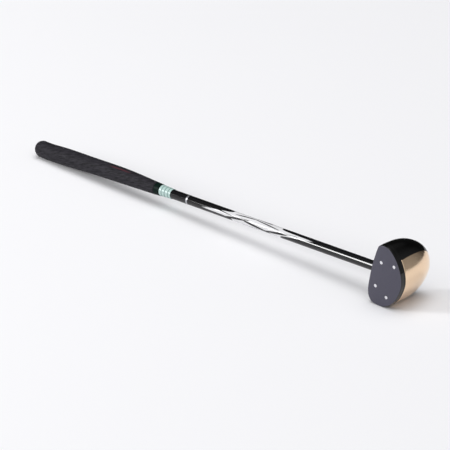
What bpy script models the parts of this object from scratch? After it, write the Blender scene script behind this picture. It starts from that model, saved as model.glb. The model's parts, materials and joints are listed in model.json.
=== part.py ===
"""A left-hand park golf club, lying on a level floor as it is left between two holes.

The head lies on its heel with the toe up and the striking face upright, and the
club leans on the round end of its grip. Lengths are in metres, +Z is up.

Three frames carry the pieces:
  club_frame   the whole club, tipped until the heel and the grip both touch the floor
  head_frame   X to the toe, Y from the striking face to the back, Z to the crown
  shaft_frame  Z along the shaft towards the grip, X to the toe side, Y to the back;
               its origin is where the shaft's axis comes out of the crown
"""
import math

import bmesh
import bpy
import numpy as np
from mathutils import Vector

# Fits
GAP = 0.0003              # clearance between pieces that touch
CUT_MARGIN = 0.010        # how far a cutting tool runs past what it cuts

# Head, as seen from the front
HEAD_LENGTH = 0.098       # heel to toe
FACE_HEIGHT = 0.0562      # sole to the ends of the crown line
CROWN_RISE = 0.0021       # the crown line is a shallow arch
TOE_CORNER = 0.0090       # length of the corner between crown and toe
HEEL_CORNER = 0.0195      # length of the corner between crown and heel
WIDEST_BELOW = 0.0153     # the head is longest this far below the crown line
SOLE_OFFSET = 0.0024      # the lowest point of the sole lies this far to the toe
TOE_FULLNESS = 0.422      # 0.55 is a true ellipse, less is leaner, more is squarer
HEEL_FULLNESS = 0.606

# Head, from the face to the back
HEAD_DEPTH = 0.083
FLARE = 0.014             # the sides open by this share of their width
FLARE_DEPTH = 0.0123      # and are widest this far behind the face
HEEL_RUN = 0.037          # the heel runs straight to here, and the head lies on it
TOE_ROUNDING = 2.7        # exponents of the curves that close the back
HEEL_ROUNDING = 2.0
HEIGHT_ROUNDING = 1.68    # how much sooner the height closes than the length
BACK_CENTRE = 0.0357      # the back closes this far below the crown line

# Face plate and its four screws
PLATE_THICKNESS = 0.0070
PLATE_CHAMFER = 0.0005
SEAM_CHAMFER = 0.0004     # small chamfers on both sides of the seam behind the plate
CROWN_SCREWS_BELOW = 0.0121
CROWN_SCREWS_APART = 0.0410
SOLE_SCREWS_BELOW = 0.0355
SOLE_SCREWS_APART = 0.0543
SCREW_HEAD = 0.0052
SCREW_HEAD_EDGE = 0.0008
SCREW_SHANK = 0.0032
SCREW_LENGTH = 0.0180
SCREW_POINT = 0.0030

# Brass sole
SOLE_FRONT = 0.0095       # the brass starts this far behind the face
SOLE_THICKNESS = 0.0025
SOLE_EDGE_FRONT = 0.0385  # its upper edge, below the crown line, at the front
SOLE_EDGE_BACK = 0.0340   # and at the back

# Shaft
LIE_DEGREES = 74.0        # between the shaft and the sole line
SHAFT_TO_HEEL = 0.0095    # the shaft enters the crown this far to the heel
SHAFT_SETBACK = 0.0283    # and this far behind the face
SHAFT_DIAMETER = 0.0152
SHAFT_WALL = 0.0014
SHAFT_IN_HEAD = 0.0380
CLUB_REACH = 0.7687       # from the crown to the end of the grip
PLUG_LENGTH = 0.0120

# Neck ferrule
FERRULE_LENGTH = 0.0140   # above the crown
FERRULE_SEAT = 0.0045     # let into the crown
FERRULE_FOOT = 0.0186     # diameters
FERRULE_TOP = 0.0166
FERRULE_GROOVE = 0.0004

# Silver ring, let into a shallow seat on the shaft
TRIM_RING_AT = 0.4035     # along the shaft from the crown
TRIM_RING_WIDTH = 0.0040
TRIM_RING_SEAT = 0.0004
TRIM_RING_THICKNESS = 0.0004
TRIM_RING_GAP = 0.0002

# Collar and ring below the grip
COLLAR_LENGTH = 0.0247
COLLAR_SMALL = 0.0165     # diameters
COLLAR_LARGE = 0.0186
COLLAR_GROOVES = 3
COLLAR_GROOVE_FIRST = 0.0055
COLLAR_GROOVE_PITCH = 0.0068
COLLAR_GROOVE_WIDTH = 0.0016
COLLAR_GROOVE_DEPTH = 0.0003
MOUTH_RING_LENGTH = 0.0120
MOUTH_RING_SMALL = 0.0192
MOUTH_RING_LARGE = 0.0202

# Grip: diameters, and how far its middle drops to the heel side of the shaft
GRIP_LENGTH = 0.2897
GRIP_MOUTH = 0.0204
GRIP_SHOULDER = 0.0253
GRIP_SHOULDER_AT = 0.0700
GRIP_SHOULDER_DROP = -0.0009
GRIP_WAIST = 0.0270
GRIP_WAIST_AT = 0.1576
GRIP_WAIST_DROP = 0.0003
GRIP_SWELL = 0.0289
GRIP_SWELL_AT = 0.2260
GRIP_SWELL_DROP = 0.0020
GRIP_BUTT = 0.0281
GRIP_BUTT_AT = 0.2600
GRIP_BUTT_DROP = 0.0030
GRIP_END_DROP = 0.0022
GRIP_LIP = 0.0010         # rounding of the mouth
GRIP_END_ROUNDING = 0.0140
GRIP_CAP = 0.0125         # rubber left over the end of the shaft
GRIP_VENT = 0.0030        # the small hole in the end of the grip
TAPE_THICKNESS = 0.0005
TAPE_MARGIN = 0.0060      # the tape stops short of both ends of the grip
FLANGE_THICKNESS = 0.0020

# How finely the curves are cut
OUTLINE_STEPS = {"crown": 8, "corner": 6, "quarter": 12}
BACK_STEPS = 12
ROUND_STEPS = 32
SCREW_STEPS = 16

SHAFT_RADIUS = SHAFT_DIAMETER / 2
BORE_RADIUS = SHAFT_RADIUS - SHAFT_WALL
SLEEVE_RADIUS = SHAFT_RADIUS + GAP
TAPE_RADIUS = SLEEVE_RADIUS + TAPE_THICKNESS
GRIP_BORE = TAPE_RADIUS + GAP
GRIP_START = CLUB_REACH - GRIP_LENGTH
GRIP_CAVITY_END = CLUB_REACH - GRIP_CAP
SHAFT_END = GRIP_CAVITY_END - FLANGE_THICKNESS - 2 * GAP
MOUTH_RING_START = GRIP_START - GAP - MOUTH_RING_LENGTH
COLLAR_START = MOUTH_RING_START - GAP - COLLAR_LENGTH
LEAN = math.radians(90.0 - LIE_DEGREES)


def clear_scene():
    """Remove every object, so that the club is built alone."""
    for thing in list(bpy.data.objects):
        bpy.data.objects.remove(thing, do_unlink=True)


def material(name, colour, roughness, metallic):
    """A plain Principled material; colour is linear red, green and blue."""
    finish = bpy.data.materials.new(name)
    finish.use_nodes = True
    shader = finish.node_tree.nodes["Principled BSDF"]
    shader.inputs["Base Color"].default_value = (*colour, 1.0)
    shader.inputs["Roughness"].default_value = roughness
    shader.inputs["Metallic"].default_value = metallic
    return finish


def empty(name, parent=None, location=(0.0, 0.0, 0.0), turn_y=0.0):
    """A frame that carries pieces, turned about its Y axis."""
    frame = bpy.data.objects.new(name, None)
    bpy.context.scene.collection.objects.link(frame)
    frame.parent = parent
    frame.location = location
    frame.rotation_euler = (0.0, turn_y, 0.0)
    return frame


def add_piece(name, work, parent, finish=None, location=(0.0, 0.0, 0.0), rotation=(0.0, 0.0, 0.0)):
    """Turn a bmesh into an object; without a finish it is a cutter, shown as wire."""
    bmesh.ops.remove_doubles(work, verts=work.verts, dist=1e-7)
    bmesh.ops.recalc_face_normals(work, faces=work.faces)
    if work.calc_volume(signed=True) < 0:
        bmesh.ops.reverse_faces(work, faces=work.faces)
    mesh = bpy.data.meshes.new(name)
    work.to_mesh(mesh)
    work.free()
    mesh.shade_smooth()
    mesh.set_sharp_from_angle(angle=math.radians(35.0))
    piece = bpy.data.objects.new(name, mesh)
    bpy.context.scene.collection.objects.link(piece)
    piece.parent = parent
    piece.location = location
    piece.rotation_euler = rotation
    if finish:
        mesh.materials.append(finish)
    else:
        piece.hide_render = True
        piece.display_type = "WIRE"
    return piece


def boolean(piece, tool, operation):
    """Cut, join or keep the common part of two pieces."""
    step = piece.modifiers.new(f"{operation.lower()}_{tool.name}", "BOOLEAN")
    step.object = tool
    step.operation = operation
    step.solver = "EXACT"


def turned(profile, steps=ROUND_STEPS):
    """Spin a closed profile of (radius, height) points about the Z axis."""
    work = bmesh.new()
    corners = [work.verts.new((radius, 0.0, height)) for radius, height in profile]
    edges = [work.edges.new((a, b)) for a, b in zip(corners, corners[1:] + corners[:1])]
    bmesh.ops.spin(work, geom=corners + edges, cent=(0, 0, 0), axis=(0, 0, 1),
                   angle=math.tau, steps=steps, use_merge=True)
    bmesh.ops.remove_doubles(work, verts=work.verts, dist=1e-7)
    lone = [edge for edge in work.edges if not edge.link_faces]
    bmesh.ops.delete(work, geom=lone, context="EDGES")
    return work


def lofted(rings, closed=False):
    """Skin rings of points; closed joins the last ring to the first, else both ends are capped."""
    work = bmesh.new()
    loops = [[work.verts.new(point) for point in ring] for ring in rings]
    following = loops[1:] + loops[:1] if closed else loops[1:]
    for near, far in zip(loops, following):
        for i, corner in enumerate(near):
            j = (i + 1) % len(near)
            work.faces.new((corner, near[j], far[j], far[i]))
    if not closed:
        work.faces.new(loops[0])
        work.faces.new(loops[-1][::-1])
    return work


def bezier(start, start_aim, end_aim, end, steps):
    """Points of a cubic curve, without its last point."""
    t = np.linspace(0.0, 1.0, steps, endpoint=False)[:, None]
    return ((1 - t) ** 3 * np.array(start) + 3 * t * (1 - t) ** 2 * np.array(start_aim)
            + 3 * t * t * (1 - t) * np.array(end_aim) + t ** 3 * np.array(end))


def face_outline(inset=0.0):
    """The head's outline from the front as (toe, crown) points, drawn inwards by inset.

    It runs from the toe round the sole to the heel and back along the crown.
    """
    half = HEAD_LENGTH / 2
    round_off = 0.5523
    lower = FACE_HEIGHT - WIDEST_BELOW
    toe_reach = half - SOLE_OFFSET
    heel_reach = half + SOLE_OFFSET
    toe = np.array([half, -WIDEST_BELOW])
    heel = np.array([-half, -WIDEST_BELOW])
    sole = np.array([SOLE_OFFSET, -FACE_HEIGHT])
    heel_end = np.array([-half + HEEL_CORNER, 0.0])
    toe_end = np.array([half - TOE_CORNER, 0.0])
    crown_half = (toe_end[0] - heel_end[0]) / 2
    slope = 2 * CROWN_RISE / crown_half
    down = np.array([0.0, -1.0])
    right = np.array([1.0, 0.0])
    quarter = OUTLINE_STEPS["quarter"]
    corner = OUTLINE_STEPS["corner"]
    t = np.linspace(-1.0, 1.0, OUTLINE_STEPS["crown"], endpoint=False)
    crown = np.column_stack([heel_end[0] + (t + 1) * crown_half, CROWN_RISE * (1 - t * t)])
    stretches = [
        bezier(toe, toe + down * lower * TOE_FULLNESS,
               sole + right * toe_reach * TOE_FULLNESS, sole, quarter),
        bezier(sole, sole - right * heel_reach * HEEL_FULLNESS,
               heel + down * lower * HEEL_FULLNESS, heel, quarter),
        bezier(heel, heel - down * WIDEST_BELOW * round_off,
               heel_end - np.array([1.0, slope]) * HEEL_CORNER * round_off, heel_end, corner),
        crown,
        bezier(toe_end, toe_end + np.array([1.0, -slope]) * TOE_CORNER * round_off,
               toe - down * WIDEST_BELOW * round_off, toe, corner),
    ]
    outline = np.vstack(stretches)
    along = np.roll(outline, -1, axis=0) - np.roll(outline, 1, axis=0)
    along /= np.linalg.norm(along, axis=1)[:, None]
    inwards = np.column_stack([along[:, 1], -along[:, 0]])
    return outline + inwards * inset


def closing(y, run_end, depth, rounding):
    """Share of the full width at depth y: straight to run_end, then a curve that closes at depth."""
    t = max(0.0, y - run_end) / (depth - run_end)
    return max(0.0, 1.0 - t ** rounding) ** (1.0 / rounding)


def head_section(y, inset=0.0):
    """The head's cross-section at depth y behind the face, as points in the head's frame.

    The length closes towards each end on its own curve. The height closes with the
    toe's curve, but ever less so towards the heel, where the head keeps its straight run.
    """
    depth = HEAD_DEPTH - inset
    ahead = max(0.0, FLARE_DEPTH - y) / FLARE_DEPTH
    flare = 1.0 + FLARE * (1.0 - ahead * ahead)
    toe_side = closing(y, FLARE_DEPTH, depth, TOE_ROUNDING)
    heel_side = closing(y, HEEL_RUN, depth, HEEL_ROUNDING)
    outline = face_outline(inset)
    side = np.where(outline[:, 0] > 0, toe_side, heel_side)
    to_heel = (np.minimum(outline[:, 0], 0.0) / outline[:, 0].min()) ** 4
    height = (1 - to_heel) * toe_side ** HEIGHT_ROUNDING + to_heel * heel_side ** HEIGHT_ROUNDING
    across = outline[:, 0] * side * flare
    up = (outline[:, 1] + BACK_CENTRE) * height * flare - BACK_CENTRE
    return np.column_stack([across, np.full(len(across), y), up])


def head_depths(front, inset=0.0):
    """Depths of the sections, closer together where the back closes."""
    depth = HEAD_DEPTH - inset
    sweep = np.linspace(0.0, math.pi / 2, BACK_STEPS, endpoint=False)
    curved = FLARE_DEPTH + (depth - FLARE_DEPTH) * np.sin(sweep)
    near_run = np.abs(curved - HEEL_RUN) < (depth - FLARE_DEPTH) / BACK_STEPS / 2
    depths = [front] + [y for y in curved[~near_run] if y > front + GAP] + [HEEL_RUN, depth - GAP]
    return sorted(depths)


def head_blank(front, inset=0.0, chamfer=0.0):
    """The head's solid from the depth front to the back."""
    rings = [head_section(y, inset) for y in head_depths(front + chamfer, inset)]
    if chamfer:
        rings.insert(0, head_section(front, inset + chamfer))
    return lofted(rings)


def sole_zone(clearance=0.0):
    """A wedge that holds all of the head behind SOLE_FRONT and below the brass's upper edge."""
    front = SOLE_FRONT - clearance
    back = HEAD_DEPTH + CUT_MARGIN
    rise = (SOLE_EDGE_FRONT - SOLE_EDGE_BACK) / (HEAD_DEPTH - SOLE_FRONT)
    side = HEAD_LENGTH / 2 + CUT_MARGIN
    bottom = -FACE_HEIGHT - CUT_MARGIN

    def top(y):
        return -SOLE_EDGE_FRONT + rise * (y - SOLE_FRONT) + clearance

    ends = [(front, bottom), (front, top(front)), (back, top(back)), (back, bottom)]
    return lofted([[(x, y, z) for y, z in ends] for x in (-side, side)])


def screw_places():
    """Middle of each screw on the face, by name."""
    rows = {"crown": (CROWN_SCREWS_BELOW, CROWN_SCREWS_APART),
            "sole": (SOLE_SCREWS_BELOW, SOLE_SCREWS_APART)}
    ends = {"toe": 0.5, "heel": -0.5}
    return {f"{row}_{end}": (share * apart, 0.0, -below)
            for row, (below, apart) in rows.items() for end, share in ends.items()}


def screw_profile(clearance=0.0):
    """Countersunk screw: flat head at height 0, then the cone, the shank and the point."""
    head = SCREW_HEAD / 2 + clearance
    shank = SCREW_SHANK / 2 + clearance
    start = -CUT_MARGIN if clearance else 0.0
    cone_end = SCREW_HEAD_EDGE + (SCREW_HEAD - SCREW_SHANK) / 2
    end = SCREW_LENGTH + clearance
    return [(0.0, start), (head, start), (head, SCREW_HEAD_EDGE + clearance),
            (shank, cone_end + clearance), (shank, end - SCREW_POINT), (0.0, end)]


def build_head(frame, shaft_frame):
    """Wooden body, face plate, screws and brass sole."""
    lacquer = material("black_lacquer", (0.004, 0.004, 0.005), 0.08, 0.0)
    satin = material("satin_grey_resin", (0.105, 0.105, 0.125), 0.45, 0.0)
    steel = material("polished_steel", (0.80, 0.80, 0.82), 0.20, 1.0)
    brass = material("polished_brass", (0.72, 0.53, 0.30), 0.12, 1.0)

    body_front = PLATE_THICKNESS + GAP
    body = add_piece("head_body", head_blank(body_front, chamfer=SEAM_CHAMFER), frame, lacquer)
    sole = add_piece("brass_sole", head_blank(SOLE_FRONT - CUT_MARGIN / 2), frame, brass)
    plate_rings = [head_section(0.0, PLATE_CHAMFER), head_section(PLATE_CHAMFER),
                   head_section(PLATE_THICKNESS / 2), head_section(PLATE_THICKNESS - SEAM_CHAMFER),
                   head_section(PLATE_THICKNESS, SEAM_CHAMFER)]
    plate = add_piece("face_plate", lofted(plate_rings), frame, satin)

    under_plate = body_front + SEAM_CHAMFER
    sole_core = add_piece("sole_core_cutter", head_blank(under_plate, SOLE_THICKNESS), frame)
    body_core = add_piece("body_core_guide", head_blank(under_plate, SOLE_THICKNESS + GAP), frame)
    brass_zone = add_piece("brass_zone_guide", sole_zone(), frame)
    rebate_zone = add_piece("rebate_zone_cutter", sole_zone(GAP), frame)
    boolean(sole, brass_zone, "INTERSECT")
    boolean(sole, sole_core, "DIFFERENCE")
    boolean(body, rebate_zone, "DIFFERENCE")
    boolean(body, body_core, "UNION")

    into_head = (-math.pi / 2, 0.0, 0.0)
    for place, centre in screw_places().items():
        add_piece(f"face_screw_{place}", turned(screw_profile(), SCREW_STEPS), frame, steel,
                  centre, into_head)
        hole = add_piece(f"screw_hole_{place}_cutter", turned(screw_profile(GAP), SCREW_STEPS),
                         frame, None, centre, into_head)
        boolean(plate, hole, "DIFFERENCE")
        boolean(body, hole, "DIFFERENCE")

    bore_bottom = -SHAFT_IN_HEAD - GAP
    seat_bottom = -FERRULE_SEAT - GAP
    seat_radius = FERRULE_FOOT / 2 + GAP
    bore_top = FERRULE_LENGTH + CUT_MARGIN
    bore = [(0.0, bore_bottom), (SLEEVE_RADIUS, bore_bottom), (SLEEVE_RADIUS, seat_bottom),
            (seat_radius, seat_bottom), (seat_radius, bore_top), (0.0, bore_top)]
    boolean(body, add_piece("shaft_bore_cutter", turned(bore), shaft_frame), "DIFFERENCE")


def tapered_sleeve(length, small, large, grooves=()):
    """Profile of a sleeve on the shaft that widens from height 0 to length.

    Each groove is (middle, width, depth).
    """
    def radius(height):
        return (small + (large - small) * height / length) / 2

    outside = [(radius(0.0), 0.0)]
    for middle, width, depth in grooves:
        for height, cut in ((middle - width / 2, 0.0), (middle, depth), (middle + width / 2, 0.0)):
            outside.append((radius(height) - cut, height))
    outside.append((radius(length), length))
    return outside + [(SLEEVE_RADIUS, length), (SLEEVE_RADIUS, 0.0)]


def build_shaft(frame):
    """Tube, plugs, ferrule, silver ring, collar and mouth ring."""
    gloss = material("black_gloss_paint", (0.006, 0.006, 0.008), 0.10, 0.0)
    plug_finish = material("natural_nylon", (0.62, 0.58, 0.48), 0.55, 0.0)
    ferrule_finish = material("black_acetate", (0.010, 0.010, 0.012), 0.18, 0.0)
    silver = material("silver_ring", (0.72, 0.73, 0.75), 0.22, 1.0)
    mint = material("mint_collar", (0.52, 0.76, 0.68), 0.18, 0.0)
    green = material("dark_green_ring", (0.006, 0.050, 0.035), 0.12, 0.0)

    seat_radius = SHAFT_RADIUS - TRIM_RING_SEAT
    ring_end = TRIM_RING_AT + TRIM_RING_WIDTH
    tube = [(SHAFT_RADIUS, -SHAFT_IN_HEAD),
            (SHAFT_RADIUS, TRIM_RING_AT - TRIM_RING_GAP), (seat_radius, TRIM_RING_AT - TRIM_RING_GAP),
            (seat_radius, ring_end + TRIM_RING_GAP), (SHAFT_RADIUS, ring_end + TRIM_RING_GAP),
            (SHAFT_RADIUS, SHAFT_END), (BORE_RADIUS, SHAFT_END), (BORE_RADIUS, -SHAFT_IN_HEAD)]
    add_piece("shaft_tube", turned(tube), frame, gloss)

    ring_inside = seat_radius + TRIM_RING_GAP
    ring_outside = ring_inside + TRIM_RING_THICKNESS
    ring = [(ring_outside, 0.0), (ring_outside, TRIM_RING_WIDTH),
            (ring_inside, TRIM_RING_WIDTH), (ring_inside, 0.0)]
    add_piece("trim_ring", turned(ring), frame, silver, (0.0, 0.0, TRIM_RING_AT))

    plug_radius = BORE_RADIUS - GAP
    tip_plug = [(0.0, 0.0), (plug_radius, 0.0), (plug_radius, PLUG_LENGTH), (0.0, PLUG_LENGTH)]
    add_piece("shaft_tip_plug", turned(tip_plug, SCREW_STEPS), frame, plug_finish,
              (0.0, 0.0, -SHAFT_IN_HEAD))
    flange = GAP + FLANGE_THICKNESS
    butt_plug = [(0.0, -PLUG_LENGTH), (plug_radius, -PLUG_LENGTH), (plug_radius, GAP),
                 (SHAFT_RADIUS, GAP), (SHAFT_RADIUS, flange), (0.0, flange)]
    add_piece("shaft_butt_plug", turned(butt_plug, SCREW_STEPS), frame, plug_finish,
              (0.0, 0.0, SHAFT_END))

    ferrule_length = FERRULE_SEAT + FERRULE_LENGTH
    groove = [(ferrule_length * share, 2 * FERRULE_GROOVE, FERRULE_GROOVE) for share in (0.72, 0.82)]
    ferrule = tapered_sleeve(ferrule_length, FERRULE_FOOT, FERRULE_TOP, groove)
    add_piece("neck_ferrule", turned(ferrule), frame, ferrule_finish, (0.0, 0.0, -FERRULE_SEAT))

    rings = [(COLLAR_GROOVE_FIRST + i * COLLAR_GROOVE_PITCH, COLLAR_GROOVE_WIDTH, COLLAR_GROOVE_DEPTH)
             for i in range(COLLAR_GROOVES)]
    collar = tapered_sleeve(COLLAR_LENGTH, COLLAR_SMALL, COLLAR_LARGE, rings)
    add_piece("grip_collar", turned(collar), frame, mint, (0.0, 0.0, COLLAR_START))
    mouth_ring = tapered_sleeve(MOUTH_RING_LENGTH, MOUTH_RING_SMALL, MOUTH_RING_LARGE)
    add_piece("grip_mouth_ring", turned(mouth_ring), frame, green, (0.0, 0.0, MOUTH_RING_START))


def grip_shape(height):
    """Radius and drop of the grip's skin at a height above its mouth.

    A smooth curve runs through the stations, and an elliptic quarter rounds the end.
    """
    stations = np.array([
        (0.0, GRIP_MOUTH / 2, 0.0),
        (GRIP_SHOULDER_AT, GRIP_SHOULDER / 2, GRIP_SHOULDER_DROP),
        (GRIP_WAIST_AT, GRIP_WAIST / 2, GRIP_WAIST_DROP),
        (GRIP_SWELL_AT, GRIP_SWELL / 2, GRIP_SWELL_DROP),
        (GRIP_BUTT_AT, GRIP_BUTT / 2, GRIP_BUTT_DROP),
        (GRIP_LENGTH, GRIP_BUTT / 2, GRIP_END_DROP)])
    at, values = stations[:, 0], stations[:, 1:]
    slopes = np.gradient(values, at, axis=0)
    slopes[-1] = 0.0
    i = int(np.clip(np.searchsorted(at, height) - 1, 0, len(at) - 2))
    span = at[i + 1] - at[i]
    t = (height - at[i]) / span
    radius, drop = ((1 + 2 * t) * (1 - t) ** 2 * values[i] + t * (1 - t) ** 2 * span * slopes[i]
                    + t * t * (3 - 2 * t) * values[i + 1] + t * t * (t - 1) * span * slopes[i + 1])
    into_end = max(0.0, height - (GRIP_LENGTH - GRIP_END_ROUNDING)) / GRIP_END_ROUNDING
    return radius * math.sqrt(max(0.0, 1.0 - into_end ** 2)), drop


def grip_heights():
    """Heights of the rings of the grip's skin, closer together where the end is rounded."""
    end_start = GRIP_LENGTH - GRIP_END_ROUNDING
    straight = np.linspace(GRIP_LIP, end_start, 20)
    sweep = np.radians([15, 30, 45, 58, 70, 79, 85])
    return np.concatenate([straight, end_start + GRIP_END_ROUNDING * np.sin(sweep)])


def circle(radius, height, drop=0.0):
    """A ring of points about the shaft, its middle moved towards the heel side by drop."""
    angle = np.linspace(0.0, math.tau, ROUND_STEPS, endpoint=False)
    return np.column_stack([radius * np.cos(angle) - drop, radius * np.sin(angle),
                            np.full(ROUND_STEPS, height)])


def build_grip(frame):
    """Rubber grip with its vent, and the tape under it."""
    rubber = material("charcoal_rubber", (0.040, 0.038, 0.042), 0.62, 0.0)
    paper = material("tape_paper", (0.65, 0.60, 0.50), 0.80, 0.0)
    vent = GRIP_VENT / 2
    mouth, _ = grip_shape(0.0)
    rings = [circle(mouth - GRIP_LIP, 0.0)]
    rings += [circle(radius, height, drop)
              for height in grip_heights() for radius, drop in [grip_shape(height)]]
    cavity = GRIP_LENGTH - GRIP_CAP
    rings += [circle(vent, GRIP_LENGTH, GRIP_END_DROP), circle(vent, cavity),
              circle(GRIP_BORE, cavity), circle(GRIP_BORE, 0.0)]
    add_piece("grip_sleeve", lofted(rings, closed=True), frame, rubber, (0.0, 0.0, GRIP_START))

    tape_length = SHAFT_END - GRIP_START - 2 * TAPE_MARGIN
    tape = [(TAPE_RADIUS, 0.0), (TAPE_RADIUS, tape_length),
            (SLEEVE_RADIUS, tape_length), (SLEEVE_RADIUS, 0.0)]
    add_piece("grip_tape", turned(tape), frame, paper, (0.0, 0.0, GRIP_START + TAPE_MARGIN))


def head_origin():
    """Middle of the crown line at the face, in the club's frame, whose X axis is the shaft."""
    return Vector((SHAFT_TO_HEEL * math.sin(LEAN), -SHAFT_SETBACK, SHAFT_TO_HEEL * math.cos(LEAN)))


def resting_tip():
    """Angle of the shaft to the floor when the heel and the grip both touch it."""
    section = head_section(FLARE_DEPTH)
    origin = head_origin()
    head_x = origin.x + section[:, 0] * math.sin(LEAN) - section[:, 2] * math.cos(LEAN)
    head_z = origin.z + section[:, 0] * math.cos(LEAN) + section[:, 2] * math.sin(LEAN)
    heights = grip_heights()
    skin = np.array([grip_shape(height) for height in heights])
    grip_x = -(GRIP_START + heights)
    grip_z = -(skin[:, 0] + skin[:, 1])
    tip = 0.0
    for _ in range(30):
        low_head = np.argmin(head_z * math.cos(tip) + head_x * math.sin(tip))
        low_grip = np.argmin(grip_z * math.cos(tip) + grip_x * math.sin(tip))
        rise = grip_z[low_grip] - head_z[low_head]
        tip = math.atan2(rise, head_x[low_head] - grip_x[low_grip])
    return tip


def set_down(club_frame):
    """Move the club so that it stands on Z = 0 with the middle of its box over the origin."""
    graph = bpy.context.evaluated_depsgraph_get()
    corners = []
    for thing in bpy.data.objects:
        if thing.type == "MESH" and not thing.hide_render:
            shown = thing.evaluated_get(graph)
            places = np.empty(len(shown.data.vertices) * 3)
            shown.data.vertices.foreach_get("co", places)
            turn = np.array(shown.matrix_world)
            corners.append(places.reshape(-1, 3) @ turn[:3, :3].T + turn[:3, 3])
    corners = np.vstack(corners)
    low, high = corners.min(axis=0), corners.max(axis=0)
    club_frame.location = (-(low[0] + high[0]) / 2, -(low[1] + high[1]) / 2, -low[2])


def main():
    clear_scene()
    club_frame = empty("club_frame", turn_y=-resting_tip())
    head_frame = empty("head_frame", club_frame, head_origin(), LEAN - math.pi / 2)
    shaft_frame = empty("shaft_frame", club_frame, turn_y=-math.pi / 2)
    build_head(head_frame, shaft_frame)
    build_shaft(shaft_frame)
    build_grip(shaft_frame)
    bpy.context.view_layer.update()
    set_down(club_frame)
    bpy.context.view_layer.update()


main()
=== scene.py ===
# %% [markdown]
# # A park golf club, dressed
# They stay where they are, and this lesson lays finer surfaces and finishes over them,
# then sets up the light, the floor and the camera.

# %% The frame
import json
import math

import bmesh
import bpy
import numpy as np
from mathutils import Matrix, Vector

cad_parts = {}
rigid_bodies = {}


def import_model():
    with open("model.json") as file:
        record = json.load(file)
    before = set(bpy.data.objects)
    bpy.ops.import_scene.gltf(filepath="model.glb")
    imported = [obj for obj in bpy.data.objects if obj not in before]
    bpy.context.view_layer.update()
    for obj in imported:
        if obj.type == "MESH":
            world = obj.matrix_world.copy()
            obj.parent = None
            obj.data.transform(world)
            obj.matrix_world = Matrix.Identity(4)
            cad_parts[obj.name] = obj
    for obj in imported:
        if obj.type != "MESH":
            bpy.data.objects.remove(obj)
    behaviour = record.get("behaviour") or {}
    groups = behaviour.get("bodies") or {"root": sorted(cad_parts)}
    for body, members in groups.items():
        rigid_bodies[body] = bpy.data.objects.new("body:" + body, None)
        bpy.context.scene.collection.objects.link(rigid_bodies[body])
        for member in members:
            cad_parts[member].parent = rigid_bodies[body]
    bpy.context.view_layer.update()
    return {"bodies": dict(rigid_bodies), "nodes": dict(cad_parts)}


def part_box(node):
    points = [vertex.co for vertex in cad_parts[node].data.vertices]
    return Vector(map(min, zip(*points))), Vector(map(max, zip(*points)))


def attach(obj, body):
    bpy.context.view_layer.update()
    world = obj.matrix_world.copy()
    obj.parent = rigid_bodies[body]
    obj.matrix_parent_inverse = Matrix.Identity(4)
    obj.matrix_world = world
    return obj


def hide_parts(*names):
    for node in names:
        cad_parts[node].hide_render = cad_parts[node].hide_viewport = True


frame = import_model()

BODY = next(iter(frame["bodies"]))
print("one rigid body:", BODY, "with", len(frame["nodes"]), "solids")

# %% [markdown]
# ## Two directions measured from the solids
# Everything on a golf club hangs on two things: the line of the shaft, and the lie, the
# angle that the shaft makes with the sole. The line is measured here from two round
# solids that sit on the shaft, so it is right however the club was laid down.

# %% The shaft's line and the head's frame
RING_MIDDLE = 0.4055      # of the silver ring, along the shaft from the crown
LIE = math.radians(74.0)
SHAFT_TO_HEEL = 0.0095    # where the shaft enters the head
SHAFT_SETBACK = 0.0283


def middle(solid):
    """Middle of a solid's box."""
    low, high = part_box(solid)
    return np.array((low + high) / 2)


to_grip = middle("grip_tape") - middle("trim_ring")
to_grip /= np.linalg.norm(to_grip)
crown_point = middle("trim_ring") - RING_MIDDLE * to_grip
to_back = np.array([0.0, 1.0, 0.0])
upwards = np.array([to_grip[2], 0.0, -to_grip[0]])
lean = math.pi / 2 - LIE
to_crown = to_grip * math.cos(lean) + upwards * math.sin(lean)
to_toe = upwards * math.cos(lean) - to_grip * math.sin(lean)
print("shaft enters the crown at", np.round(crown_point * 1000, 2), "mm")
print("shaft dips", round(math.degrees(math.asin(-to_grip[2])), 3), "degrees towards the grip")


def in_head(toe, back, crown):
    """Points of the head's frame in the row frame: toe, back and crown are arrays of one shape."""
    origin = crown_point + SHAFT_TO_HEEL * to_toe - SHAFT_SETBACK * to_back
    return (origin + toe[..., None] * to_toe + back[..., None] * to_back
            + crown[..., None] * to_crown)


def on_shaft(along, radius, angle, drop=0.0):
    """Points round the shaft: angle 0 looks up, a quarter turn looks the way the face does."""
    up = radius * np.cos(angle) - drop
    side = radius * np.sin(angle)
    return (crown_point + along[..., None] * to_grip + up[..., None] * upwards
            - side[..., None] * to_back)


# %% [markdown]
# ## From a grid of points to a mesh
# Each new piece is a surface of two parameters. A grid of its points becomes rows of
# four-sided faces. Where a row shrinks to one point, its doubles are merged into a pole.

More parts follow.
